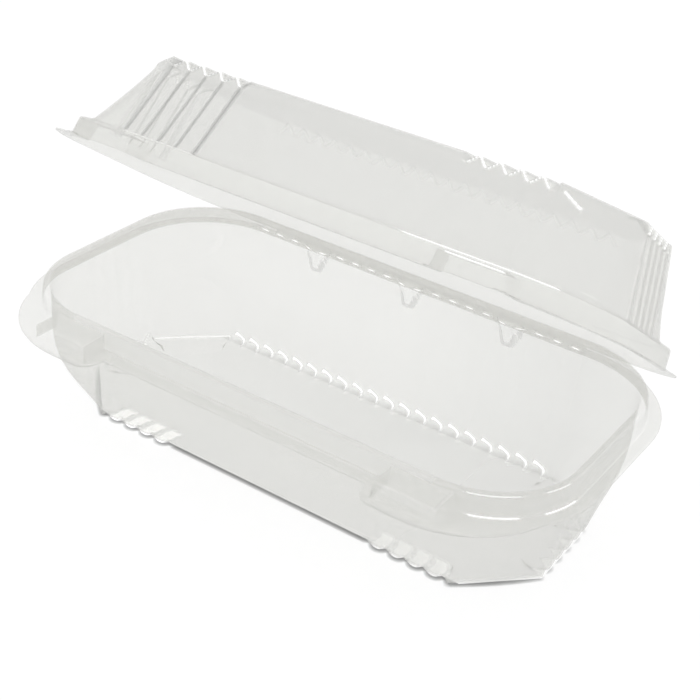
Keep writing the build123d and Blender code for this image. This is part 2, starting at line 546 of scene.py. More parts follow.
PRESS_RULE = (
    ("off_middle", "SUBTRACT", "phase", 0.5),
    ("side", "ABSOLUTE", "off_middle", 0.0),
    ("aside", "MULTIPLY", "side", 2.0),
    ("to_groove", "SUBTRACT", 0.5, "side"),
    ("slope", "DIVIDE", "to_groove", "Groove Share"),
    ("open", "SUBTRACT", 1.0, "slope"),
    ("sharp", "MAXIMUM", "open", 0.0),
    ("hard", "SUBTRACT", 1.0, "soft"),
    ("sharp_part", "MULTIPLY", "sharp", "hard"),
    ("broad", "MULTIPLY", "aside", "aside"),
    ("shallow", "MULTIPLY", "broad", "Soft Share"),
    ("broad_part", "MULTIPLY", "shallow", "soft"),
    ("valley", "ADD", "sharp_part", "broad_part"),
    ("set_back", "MULTIPLY", "panel", "Panel Set"),
    ("wall_share", "MAXIMUM", "valley", "set_back"),
    ("wall_depth", "MULTIPLY", "groove", "Groove Depth"),
    ("wall", "MULTIPLY", "wall_share", "wall_depth"),
    ("past_fold", "ADD", "aside", "notch"),
    ("over_fold", "SUBTRACT", "past_fold", 1.0),
    ("cut", "MAXIMUM", "over_fold", 0.0),
    ("panel_cut", "MULTIPLY", "set_back", "notch"),
    ("foot_share", "MAXIMUM", "cut", "panel_cut"),
    ("foot_depth", "SUBTRACT", "Notch Depth", "Groove Depth"),
    ("foot", "MULTIPLY", "foot_share", "foot_depth"),
    ("pressed", "ADD", "wall", "foot"),
    ("boss", "MULTIPLY", "lug", "Lug Reach"),
    ("depth", "MAXIMUM", "pressed", "boss"),
)


PRESS_SIZES = ("Groove Depth", "Notch Depth", "Groove Share", "Soft Share", "Panel Set", "Lug Reach")


def flute_tree(material: bpy.types.Material) -> tuple[bpy.types.NodeTree, dict[str, str]]:
    """Build the node tree that presses flutes, notches and lugs into a plain sheet.

    Args:
        material: Finish of the sheet.

    Returns:
        The tree, and the identifiers of its inputs by name.
    """
    tree = bpy.data.node_groups.new("pressed_flutes", "GeometryNodeTree")
    face = tree.interface
    face.new_socket("Geometry", in_out="INPUT", socket_type="NodeSocketGeometry")
    names = {name: face.new_socket(name, in_out="INPUT", socket_type="NodeSocketFloat").identifier
             for name in PRESS_SIZES}
    face.new_socket("Geometry", in_out="OUTPUT", socket_type="NodeSocketGeometry")
    given = add_node(tree, "NodeGroupInput").outputs
    known = {name: given[name] for name in PRESS_SIZES}
    for name in ("phase", "panel", "soft", "groove", "notch", "lug"):
        known[name] = add_node(tree, "GeometryNodeInputNamedAttribute", {"data_type": "FLOAT"},
                               {"Name": name}).outputs["Attribute"]
    for result, operation, first, second in PRESS_RULE:
        known[result] = add_node(tree, "ShaderNodeMath", {"operation": operation},
                                 {0: known.get(first, first), 1: known.get(second, second)}).outputs[0]
    inward = add_node(tree, "GeometryNodeInputNamedAttribute", {"data_type": "FLOAT_VECTOR"},
                      {"Name": "inward"})
    move = add_node(tree, "ShaderNodeVectorMath", {"operation": "SCALE"},
                    {0: inward.outputs["Attribute"], "Scale": known["depth"]})
    moved = add_node(tree, "GeometryNodeSetPosition", {},
                     {"Geometry": given["Geometry"], "Offset": move.outputs[0]})
    real = add_node(tree, "GeometryNodeRealizeInstances", {}, {"Geometry": moved.outputs[0]})
    dressed = add_node(tree, "GeometryNodeSetMaterial", {},
                       {"Geometry": real.outputs[0], "Material": material})
    add_node(tree, "NodeGroupOutput", {}, {0: dressed.outputs[0]})
    return tree, names


@dataclass
class FormedHalf:
    """A half of the pack, formed from one sheet."""

    plan: SheetPlan
    columns: Columns
    edge_round: float = 0.8
    floor_round: float = 0.8
    panel_set: float = 0.5
    back_trim: float = 0.0
    # Painted highlight on the lock bosses, and how far it keeps from their ends.
    boss_highlight: float = 0.08
    boss_margin: float = 2.5
    half: Half = Half.TRAY

    def rings(self) -> list[Ring]:
        """Rings of the sheet's upper side, from its middle outwards."""
        raise NotImplementedError

    def wall_ring(self, height: float, spread: float, bulge: float, inset: float,
                  mouth_inset: float, **features: Any) -> Ring:
        """Ring of the fluted wall, or of the flat inside it.

        Args:
            height: Height of the ring.
            spread: 0 at the floor or crown, 1 at the mouth.
            bulge: 0 for chamfered corners, 1 for round ones.
            inset: Distance inside the wall.
            mouth_inset: Distance of the mouth inside the flange's edge.
            features: Shares of groove, notch and lug, and the painted highlight and painted shade.

        Returns:
            The ring.
        """
        plan = self.plan
        half_x = plan.base_length / 2
        half_y = plan.base_width / 2
        corner = plan.base_corner
        half_x += spread * (plan.flange_length / 2 - mouth_inset - half_x) - inset
        half_y += spread * (plan.flange_width / 2 - mouth_inset - half_y) - inset
        corner += spread * (plan.flange_corner - mouth_inset - corner) - CORNER_SHARE * inset
        level = self.columns.outline(half_x, half_y, corner, bulge)
        return Ring(np.column_stack([level, np.full(len(level), height)]), **features)

    def rim_ring(self, height: float, inset: float, **features: Any) -> Ring:
        """Ring at a distance inside the flange's edge, without its tabs.

        Args:
            height: Height of the ring.
            inset: Distance inside the edge.
            features: Shares of groove, notch and lug, and the painted highlight and painted shade.

        Returns:
            The ring.
        """
        plan = self.plan
        level = self.columns.outline(plan.flange_length / 2 - inset, plan.flange_width / 2 - inset,
                                     plan.flange_corner - inset)
        return Ring(np.column_stack([level, np.full(len(level), height)]), **features)

    def flange_paths(self, foot: np.ndarray, tab_reach: float) -> tuple[np.ndarray, np.ndarray]:
        """Find where each column goes on the flange.

        Args:
            foot: X and Y of the collar's foot.
            tab_reach: How far the thumb tabs stand out in front.

        Returns:
            Level direction outwards, and distance from the foot to the flange's edge.
        """
        plan = self.plan
        outward = -self.columns.inward()
        near_lock = plan.lock_offset + plan.lock_length / 2 + 2 * self.edge_round
        front = (foot[:, 1] < 0) & (np.abs(foot[:, 0]) <= near_lock)
        outward[front] = (0, -1)
        reach = np.empty(len(foot))
        tab_heart = plan.flange_length / 2 - plan.tab_inset - plan.tab_corner
        tab_front = plan.flange_width / 2 + tab_reach
        tab_start = plan.flange_length / 2 - plan.tab_inset - plan.tab_length
        corner = (plan.flange_length / 2 - plan.flange_corner, plan.flange_width / 2 - plan.flange_corner)
        for place, (point, way) in enumerate(zip(foot, outward)):
            mirrored = np.abs(point)
            ahead = np.abs(way)
            plain = self.ray_to_round(mirrored, ahead, corner, plan.flange_corner)
            if mirrored[0] <= corner[0]:
                plain = plan.flange_width / 2 - mirrored[1] - (self.back_trim if point[1] > 0 else 0.0)
            elif mirrored[1] <= corner[1]:
                plain = plan.flange_length / 2 - mirrored[0]
            tab = 0.0
            if point[1] < 0 and mirrored[0] > tab_heart:
                heart = (tab_heart, tab_front - plan.tab_corner)
                tab = self.ray_to_round(mirrored, ahead, heart, plan.tab_corner)
            elif point[1] < 0 and mirrored[0] > tab_start:
                lost = max(0.0, tab_start + plan.tab_round - mirrored[0])
                eased = plan.tab_round - math.sqrt(plan.tab_round ** 2 - lost ** 2)
                tab = tab_front - eased - mirrored[1]
            reach[place] = max(plain, tab)
        return outward, reach

    @staticmethod
    def ray_to_round(point: np.ndarray, way: np.ndarray, heart: Sequence[float], radius: float) -> float:
        """Distance from a point to a circle round it.

        Args:
            point: Start of the ray.
            way: Unit direction of the ray.
            heart: Middle of the circle.
            radius: Radius of the circle.

        Returns:
            The distance, or 0 where the ray misses.
        """
        offset = point - np.array(heart)
        middle = float(offset @ way)
        rest = middle ** 2 - float(offset @ offset) + radius ** 2
        return -middle + math.sqrt(rest) if rest > 0 else 0.0

    def rim_and_flange(self, skin: float, top: float, base: float, tab_reach: float) -> list[Ring]:
        """Rings from the collar's upper edge to the flange's edge, with the lock bosses.

        Args:
            skin: How far this half's collar stands outside the tray's.
            top: Height of the collar's top.
            base: Height of the flange.
            tab_reach: How far the thumb tabs stand out in front.

        Returns:
            The rings.
        """
        plan = self.plan
        bend = self.edge_round
        foot_inset = plan.flange_reach - skin
        top_inset = foot_inset + plan.collar_draft
        boss_top = plan.flange_top + plan.lock_rise + skin
        boss_half = plan.lock_length / 2 + skin
        rings = []
        for turn, down, back in quarter_turn(bend, COLLAR_TURNS):
            # Painted light on the collar, and a painted highlight along its upper edge.
            painted_marks = np.maximum(self.collar_light(), self.top_highlights() * (turn == MID_EDGE))
            rings.append(self.rim_ring(top - down, top_inset + back, crease=painted_marks))
        wall_top = rings[-1].points
        foot = self.rim_ring(base, foot_inset).points[:, :2]
        outward, reach = self.flange_paths(foot, tab_reach)
        off_lock = np.abs(np.abs(foot[:, 0]) - plan.lock_offset)
        boss = (foot[:, 1] < 0) & (off_lock <= boss_half)
        lit_boss = boss & (off_lock <= boss_half - self.boss_margin) & (foot[:, 0] > 0)
        front_y = plan.flange_width / 2 - plan.flange_reach + plan.lock_reach + skin
        boss_reach = front_y - np.abs(foot[:, 1])
        tab_full = tab_reach + foot_inset

        def path(rise: np.ndarray, ahead: np.ndarray, crease: np.ndarray | float = 0.0) -> Ring:
            """Ring at given heights, and distances ahead of the collar's foot."""
            return Ring(np.column_stack([foot + outward * ahead[:, None], rise]), crease=crease)

        low = np.where(boss, boss_top, base)
        for share in COLLAR_SHARES:
            rise = wall_top[:, 2] + share * (low + bend - wall_top[:, 2])
            draft = plan.collar_draft * (rise - base) / (top - base)
            # Painted light on the collar.
            rings.append(path(rise, -draft, self.collar_light()))
        for turn, ahead, up in quarter_turn(bend, EDGE_TURNS[1:]):
            # Painted highlight along the collar's foot.
            rings.append(path(low + up, np.full(len(foot), ahead), self.foot_highlights() * (turn == MID_EDGE)))
        nose = plan.lock_reach - bend
        for share in NOSE_SHARES:
            boss_ahead = bend + share * (boss_reach - 2 * bend)
            plain_ahead = bend + share * (reach - bend) * (nose - bend) / tab_full
            rings.append(path(low, np.where(boss, boss_ahead, plain_ahead)))
        drop = boss_top - base
        for step, (out, bends, drops) in enumerate(BOSS_STEPS):
            boss_ahead = boss_reach - bend + out * bend
            plain_share = (nose + PLAIN_STEP * (step + 1)) / tab_full
            plain_ahead = bend + (reach - bend) * min(plain_share, PLAIN_END)
            rise = np.where(boss, boss_top - drops * drop - bends * bend, base)
            # Painted highlight along one bend of the lock bosses on the right.
            painted_marks = self.boss_highlight * lit_boss * (step == BOSS_HIGHLIGHT_STEP)
            rings.append(path(rise, np.where(boss, boss_ahead, plain_ahead), painted_marks))
        rings.append(path(np.full(len(foot), base), reach))
        return rings

    def top_highlights(self) -> np.ndarray:
        """Painted highlight along the collar's upper edge."""
        return self.columns.zeros()

    def collar_light(self) -> np.ndarray:
        """How much painted light whitens the collar in each column."""
        return self.columns.zeros()

    def foot_highlights(self) -> np.ndarray:
        """Painted highlight along the collar's foot."""
        return self.columns.zeros()

    def notch_highlights(self) -> np.ndarray:
        """How strong the painted highlights on the notches are in each column."""
        return self.columns.fluted

    def groove_shading(self) -> np.ndarray:
        """How much painted shade the grooves take in each column."""
        return self.columns.zeros()

    def wall_shade(self) -> np.ndarray:
        """How much painted shade the wall takes in each column."""
        return self.columns.zeros()

    def sharp_columns(self) -> np.ndarray:
        """1 for each column whose grooves are sharp, 0 where they are broad and soft."""
        return self.columns.zeros()

    def creases(self, ring: Ring) -> np.ndarray:
        """Painted highlights and painted shade of a ring.

        Args:
            ring: Ring of the sheet.

        Returns:
            1 for white, -1 for dark and 0 for clear, for each column.
        """
        aside = self.columns.aside()
        white = np.broadcast_to(ring.crease, aside.shape)
        if ring.notch * ring.folded > 0:
            near = np.clip(1 - np.abs(aside + ring.notch - 1) / self.plan.notch_highlight_width, 0, 1)
            white = np.maximum(white, near * self.notch_highlights() * ring.folded)
        edge = self.plan.groove_edge
        dark = self.wall_shade() + self.groove_shading() * np.clip((aside - edge) / (1 - edge), 0, 1)
        return np.where(np.abs(white) > CLEAR_BELOW, white, -dark * ring.groove)

    def mesh(self) -> bpy.types.Mesh:
        """Join the rings to a plain sheet that carries its features as attributes.

        Returns:
            The mesh, before its flutes are pressed.
        """
        rings = self.rings()
        count = len(self.columns.turn)
        points = np.concatenate([ring.points for ring in rings]) * MM
        start = np.arange(len(rings) - 1)[:, None] * count
        here = np.arange(count)[None, :]
        after = (here + 1) % count
        quads = np.stack([start + here, start + count + here, start + count + after, start + after], -1)
        faces = [tuple(range(count))] + quads.reshape(-1, 4).tolist()
        mesh = bpy.data.meshes.new(f"formed_{self.half.value}")
        mesh.from_pydata(points.tolist(), [], faces)
        values = {
            "phase": np.tile(self.columns.phase, len(rings)),
            "panel": np.tile(self.columns.panel, len(rings)),
            "soft": np.tile(1 - self.sharp_columns(), len(rings)),
            "crease": np.concatenate([self.creases(ring) for ring in rings]),
            "groove": np.repeat([ring.groove for ring in rings], count),
            "notch": np.repeat([ring.notch for ring in rings], count),
            "lug": np.concatenate([np.broadcast_to(ring.lug, count) for ring in rings]),
        }
        for name, data in values.items():
            mesh.attributes.new(name, "FLOAT", "POINT").data.foreach_set("value", data.astype(np.float32))
        level = self.columns.inward()
        inward = np.column_stack([level, np.zeros(count)])
        inward = np.tile(inward, (len(rings), 1)).astype(np.float32)
        mesh.attributes.new("inward", "FLOAT_VECTOR", "POINT").data.foreach_set("vector", inward.ravel())
        return mesh

    def lugs(self, share: float) -> np.ndarray:
        """Stacking lugs at one height, shaped like shields.

        Args:
            share: 0 at a lug's point, 1 at its top.

        Returns:
            How far each column stands on a lug.
        """
        plan = self.plan
        nearest = np.clip(np.round(self.columns.place / plan.lug_spacing), -1, 1) * plan.lug_spacing
        half = plan.lug_length / 2 * (plan.lug_point_width + (1 - plan.lug_point_width) * share)
        height = np.clip(1 - ((self.columns.place - nearest) / half) ** 2, 0, 1) ** 0.5
        reach = plan.lug_point_reach + (1 - plan.lug_point_reach) * share
        return height * reach * self.columns.run(Side.BACK)

    def build(self, material: bpy.types.Material) -> bpy.types.Object:
        """Form the half, give it its thickness and set it on its body.

        Args:
            material: Finish of the sheet.

        Returns:
            The finished piece.
        """
        name = f"formed_{self.half.value}"
        blank = bpy.data.objects.new(f"{name}_blank", self.mesh())
        bpy.context.scene.collection.objects.link(blank)
        tree, names = flute_tree(material)
        press = blank.modifiers.new("press", "NODES")
        press.node_group = tree
        plan = self.plan
        sizes = (plan.groove_depth * MM, plan.notch_depth * MM, plan.groove_share, plan.soft_share,
                 self.panel_set, plan.lug_reach * MM)
        for size_name, size in zip(PRESS_SIZES, sizes):
            press[names[size_name]] = size
        graph = bpy.context.evaluated_depsgraph_get()
        mesh = bpy.data.meshes.new_from_object(blank.evaluated_get(graph))
        bpy.data.objects.remove(blank)
        mesh.name = name
        mesh.transform(self.rest_place())
        mesh.shade_smooth()
        mesh.set_sharp_from_angle(angle=SHARP_ANGLE)
        piece = bpy.data.objects.new(name, mesh)
        bpy.context.scene.collection.objects.link(piece)
        wall = piece.modifiers.new("sheet", "SOLIDIFY")
        wall.thickness = plan.sheet * MM
        wall.offset = -1
        wall.use_even_offset = False
        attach(piece, self.half.value)
        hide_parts(self.half.value)
        return piece

    def rest_place(self) -> Matrix:
        """Turn from the half's drawn place to its place at rest."""
        return Matrix.Identity(4)


@dataclass
class Tray(FormedHalf):
    """The lower half: a fluted tub that turns over into a collar and a flat flange."""

    half: Half = Half.TRAY
    spread_knots: Sequence[tuple[float, float]] = ((0, 0), (5, 0.16), (14, 0.44), (45, 0.92), (53.4, 1))
    bulge_knots: Sequence[tuple[float, float]] = ((0, 0), (5, 0.5), (14, 1), (53.4, 1))
    heights: Sequence[float] = (1.5, 1.8, 2.1, 2.4, 2.7, 3, 3.4, 3.8, 4.4, 5, 6, 7.5, 9, 11, 13, 15, 18,
                                22, 27, 33, 38, 40.3, 40.9, 42.5, 44.5, 47, 48.4, 49.2, 49.7, 50.2,
                                50.8, 51.5, 52.2)
    floor_steps: Sequence[tuple[float, float]] = ((14, 0.0), (10, 0.15), (8, 0.3), (6, 0.5), (4, 0.7),
                                                  (2, 0.85))
    fade: tuple[float, float] = (49.2, 51.5)
    # Fields from here on set painted highlights and painted shade.
    flute_end: float = 49.7
    dash_highlight_edge: tuple[float, float] = (1.5, 2.5)
    lobe_rise: float = 2.2
    lobe_edge: tuple[float, float] = (4.0, 5.0)
    lobe_from: float = 0.2
    lobe_right: float = 0.5
    stroke_span: tuple[float, float] = (0.2, 0.95)
    stroke_foot: float = 0.9
    stroke_slope: float = 20 / 7
    stroke_from: float = 0.22
    stroke_width: float = 0.5
    stroke_strength: float = 1.4
    stroke_top: float = 4.4
    front_chamfer_highlight: float = 0.4
    notch_highlight_levels: tuple[float, ...] = (0.6, 0.35, 0.0, 0.5)
    rim_highlight: float = 0.6
    top_lit: Sequence[tuple[float, float]] = ((0.2, 0.5), (0.66, 0.85))
    foot_lit: Sequence[tuple[float, float]] = ((0.22, 0.52), (0.66, 0.9))
    lug_edge: tuple[float, float] = (0.02, 0.5)
    lug_outline_shade: float = 0.3
    floor_shade: float = 0.15
    back_shade: float = 0.1
    front_painted_light: float = 0.1

    def rings(self) -> list[Ring]:
        """Rings of the food side of the sheet."""
        plan = self.plan
        sheet = plan.sheet
        mouth = plan.mouth_inset
        lobe_highlights = self.lobe_highlights()
        rings = []
        for inset, share in self.floor_steps:
            ring = self.wall_ring(sheet, 0, 0, sheet + inset, mouth, groove=share, notch=share, folded=0.0)
            # Painted shade on the floor, darker towards the right end; painted highlights on the tongues
            # near the front.
            floor_shading = -self.floor_shade * (0.5 + ring.points[:, 0] / plan.base_length)
            ring.crease = np.where((lobe_highlights > 0) & (share > self.lobe_from), lobe_highlights, floor_shading)
            rings.append(ring)
        # Painted highlights along the floor's corners, at the back left and the front right.
        chamfer_highlights = self.columns.bend(Side.BACK) + self.front_chamfer_highlight * self.columns.bend(Side.FRONT)
        for turn, up, back in quarter_turn(self.floor_round, FOLD_TURNS):
            rings.append(self.tub_ring(sheet + up, back, chamfer_highlights * (turn == MID_FOLD)))
        rings += [self.tub_ring(height, 0.0) for height in self.heights]
        for _, out, down in quarter_turn(self.edge_round, EDGE_TURNS):
            rings.append(self.rim_ring(plan.collar_top - down, mouth + sheet - out,
                                       crease=self.collar_light()))
        return rings + self.rim_and_flange(0.0, plan.collar_top, plan.flange_top, plan.tab_reach)

    def tub_ring(self, height: float, inset: float, painted_marks: np.ndarray | float = 0.0) -> Ring:
        """Ring of the tub's wall at a height.

        Args:
            height: Height of the ring.
            inset: Extra distance inside the wall.
            painted_marks: Painted highlights of its own.

        Returns:
            The ring.
        """
        plan = self.plan
        start, end = self.fade
        left = float(np.clip((end - height) / (end - start), 0, 1))
        lug_top = plan.collar_top - plan.lug_drop
        lug_share = (height - lug_top + plan.lug_height) / plan.lug_height
        lug = self.lugs(lug_share) if 0 <= lug_share <= 1 else self.columns.zeros()
        # Painted shade outlines the lugs.
        painted_marks = np.where((lug > self.lug_edge[0]) & (lug < self.lug_edge[1]), -self.lug_outline_shade, painted_marks)
        if height < self.stroke_top:
            painted_marks = np.maximum(painted_marks, self.stroke_highlights(height))
        if height < self.lobe_rise:
            painted_marks = np.maximum(painted_marks, self.lobe_highlights())
        # Painted highlight: a dash at the top of each back flute.
        if height == self.flute_end:
            painted_marks = np.maximum(painted_marks, self.columns.run(Side.BACK) * self.columns.ridge(*self.dash_highlight_edge))
        return self.wall_ring(
            height, smooth_value(self.spread_knots, height), smooth_value(self.bulge_knots, height),
            inset + plan.sheet, plan.mouth_inset, groove=left * left * (3 - 2 * left),
            notch=max(0.0, 1 - height / plan.notch_rise), lug=lug, crease=painted_marks)

    def stroke_highlights(self, height: float) -> np.ndarray:
        """Painted highlights as slanted strokes at the foot of the back flutes.

        Args:
            height: Height to read them at.

        Returns:
            How strong the painted highlight is in each column there.
        """
        phase = self.columns.phase
        middle = self.stroke_foot + self.stroke_slope * (phase - self.stroke_from)
        near = np.clip(self.stroke_strength - np.abs(height - middle) / self.stroke_width, 0, 1)
        inside = (phase > self.stroke_span[0]) & (phase < self.stroke_span[1])
        return self.columns.run(Side.BACK) * near * inside

    def lobe_highlights(self) -> np.ndarray:
        """Painted highlights on the tongues between the notches of the front, brighter on the left."""
        left = self.columns.run(Side.FRONT, last=-self.plan.panel_half)
        right = self.columns.run(Side.FRONT, first=self.plan.panel_half)
        return (left + self.lobe_right * right) * self.columns.ridge(*self.lobe_edge)

    def notch_highlights(self) -> np.ndarray:
        """Painted highlights on the notches of the front and the ends."""
        return self.columns.fluted * np.array(self.notch_highlight_levels)[self.columns.turn]

    def collar_light(self) -> np.ndarray:
        """Painted light that whitens the collar along the front."""
        return self.front_painted_light * self.columns.run(Side.FRONT)

    def wall_shade(self) -> np.ndarray:
        """Painted shade on the right of the back wall, fading over its ends."""
        columns = self.columns
        right = np.clip(-columns.place / self.plan.long_span, 0, 1) + (columns.shoulder < 0)
        nearing = columns.rounding * (columns.turn == Side.RIGHT.value)
        return self.back_shade * (right * (columns.turn == Side.BACK.value) + nearing)

    def top_highlights(self) -> np.ndarray:
        """Painted highlights along the collar's upper edge at the front right corner."""
        return self.rim_highlight * sum(self.columns.bend(Side.FRONT, *part) for part in self.top_lit)

    def foot_highlights(self) -> np.ndarray:
        """Painted highlights along the collar's foot at the front right corner."""
        return sum(self.columns.bend(Side.FRONT, *part) for part in self.foot_lit)


@dataclass
class Lid(FormedHalf):
    """The upper half, drawn closed and then turned open on its hinge."""

    half: Half = Half.LID
    panel_set: float = 0.15
    back_trim: float = 0.5
    boss_highlight: float = 0.9
    drops: Sequence[float] = (1.2, 1.6, 2.0, 2.4, 2.8, 3.2, 3.8, 4.6, 5.5, 6.5, 8, 11, 14, 18, 22, 26,
                              29, 31)
    crown_steps: Sequence[tuple[float, float]] = ((10, 0.0), (3, 0.75))
    foot_grooves: Sequence[float] = (1.0, 1.0, 0.8, 0.4)
    # Fields from here on set painted highlights and painted shade.
    lit_from: float = 41.0
    crown_edge_shade: float = 0.3
    lid_front_shade: float = 0.1
    stroke_start: float = 1.5
    stroke_slope: float = 15.0
    stroke_width: float = 0.7
    stroke_bend: tuple[float, float] = (0.06, 0.3)
    lit_bend: float = 0.35
    ledge_highlight: float = 0.8
    far_notch_highlight: float = 0.3
    groove_shade_levels: tuple[float, float] = (0.45, 0.2)

    def rings(self) -> list[Ring]:
        """Rings of the outside of the sheet."""
        plan = self.plan
        mouth = plan.mouth_inset + plan.ledge_step
        rings = [self.wall_ring(plan.crown_top, 0, 0, inset, mouth, groove=share, notch=share, folded=0.0)
                 for inset, share in self.crown_steps]
        for turn, fall, back in quarter_turn(self.floor_round, FOLD_TURNS):
            ring = self.dome_ring(fall, back, mouth)
            if turn == MID_FOLD:
                # Painted shade along the crown's edge.
                ring.crease = np.maximum(ring.crease, 0) - self.crown_edge_shade
            rings.append(ring)
        rings += [self.dome_ring(fall, 0.0, mouth) for fall in self.drops]
        # Painted highlight along the foot of the wall, on the left flutes and on the right of the front.
        painted_marks = self.columns.run(Side.FRONT, last=-plan.panel_half) + self.front_highlight_part()
        for (turn, out, up), left in zip(quarter_turn(self.edge_round, EDGE_TURNS), self.foot_grooves):
            rings.append(self.rim_ring(plan.ledge_top + up, mouth - out, groove=left,
                                       crease=painted_marks * (turn == MID_EDGE)))
        skin = plan.fit + plan.sheet
        base = plan.lid_rim + plan.sheet
        return rings + self.rim_and_flange(skin, plan.ledge_top, base, plan.tab_reach - plan.tab_step)

    def dome_ring(self, fall: float, inset: float, mouth_inset: float) -> Ring:
        """Ring of the lid's wall.

        Args:
            fall: Distance below the crown.
            inset: Extra distance inside the wall.
            mouth_inset: Distance of the wall's foot inside the flange's edge.

        Returns:
            The ring.
        """
        plan = self.plan
        spread = fall / (plan.crown_top - plan.ledge_top)
        # Painted highlight: a slanted stroke down the corner after the front.
        stroke = self.stroke_start + self.stroke_slope * self.columns.rounding
        near = np.clip(1 - np.abs(fall - stroke) / self.stroke_width, 0, 1)
        painted_marks = self.columns.bend(Side.FRONT, *self.stroke_bend) * near
        return self.wall_ring(plan.crown_top - fall, spread, spread, inset, mouth_inset,
                              groove=1.0, notch=max(0.0, 1 - fall / plan.notch_rise), crease=painted_marks)

    def top_highlights(self) -> np.ndarray:
        """Painted highlight along the ledge's outer edge, on the right of the front."""
        return self.ledge_highlight * self.front_highlight_part()

    def front_highlight_part(self) -> np.ndarray:
        """1 for each column on the part of the front that takes painted highlights."""
        straight = self.columns.run(Side.FRONT, self.lit_from)
        return straight + self.columns.bend(Side.FRONT, last=self.lit_bend)

    def notch_highlights(self) -> np.ndarray:
        """Painted highlights on the notches, fainter on the far side."""
        return self.columns.fluted * np.where(self.columns.turn == Side.BACK.value, self.far_notch_highlight, 1.0)

    def sharp_columns(self) -> np.ndarray:
        """Sharp grooves at the left of the front and on the ends."""
        front_left = self.columns.run(Side.FRONT, last=0.0)
        return self.columns.fluted * np.maximum(front_left, self.columns.turn % 2)

    def groove_shading(self) -> np.ndarray:
        """Painted shade in the grooves, darkest at the left of the front."""
        return self.sharp_columns() * np.array(self.groove_shade_levels)[self.columns.turn % 2]

    def wall_shade(self) -> np.ndarray:
        """Painted shade over the front, which leans away from the light."""
        return np.where(self.columns.turn == Side.FRONT.value, self.lid_front_shade, 0.0)

    def rest_place(self) -> Matrix:
        """Turn the closed lid about the hinge to where it stands at rest."""
        joint = frame["joints"][0]
        heart = Matrix.Translation(Vector(joint["pos_m"]))
        shut, _ = joint["range_deg"]
        return heart @ Matrix.Rotation(math.radians(-shut), 4, Vector(joint["axis"])) @ heart.inverted()


@dataclass
class LivingHinge:
    """The folded strip between the halves, drawn as the bead that it rolls into."""

    plan: SheetPlan
    steps: int = 16

    def build(self, material: bpy.types.Material) -> bpy.types.Object:
        """Make the bead and set it on the tray.

        Args:
            material: Finish of the sheet.

        Returns:
            The finished piece.
        """
        plan = self.plan
        half = plan.flange_length / 2 - plan.flange_corner - plan.hinge_inset
        middle_y = plan.flange_width / 2 + plan.bead_radius / 2
        middle_z = plan.flange_top + plan.flange_gap / 2
        angles = [2 * math.pi * step / self.steps for step in range(self.steps)]
        points = [(end * half * MM, (middle_y + plan.bead_radius * math.cos(angle)) * MM,
                   (middle_z + plan.bead_radius * math.sin(angle)) * MM)
                  for end in (-1, 1) for angle in angles]
        count = self.steps
        after = [(step + 1) % count for step in range(count)]
        faces = [(count + step, count + after[step], after[step], step) for step in range(count)]
        faces += [tuple(range(count)), tuple(range(2 * count - 1, count - 1, -1))]
        mesh = bpy.data.meshes.new("hinge_fold")
        mesh.from_pydata(points, [], faces)
        mesh.materials.append(material)
        mesh.shade_smooth()
        mesh.set_sharp_from_angle(angle=SHARP_ANGLE)
        piece = bpy.data.objects.new("hinge_fold", mesh)
        bpy.context.scene.collection.objects.link(piece)
        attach(piece, Half.TRAY.value)
        return piece


@dataclass(frozen=True)
class SoftBox:
    """A soft light that shows in reflections: its direction, half angles in degrees, and brightness."""

    towards: tuple[float, float, float]
    core: float
    reach: float
    level: float


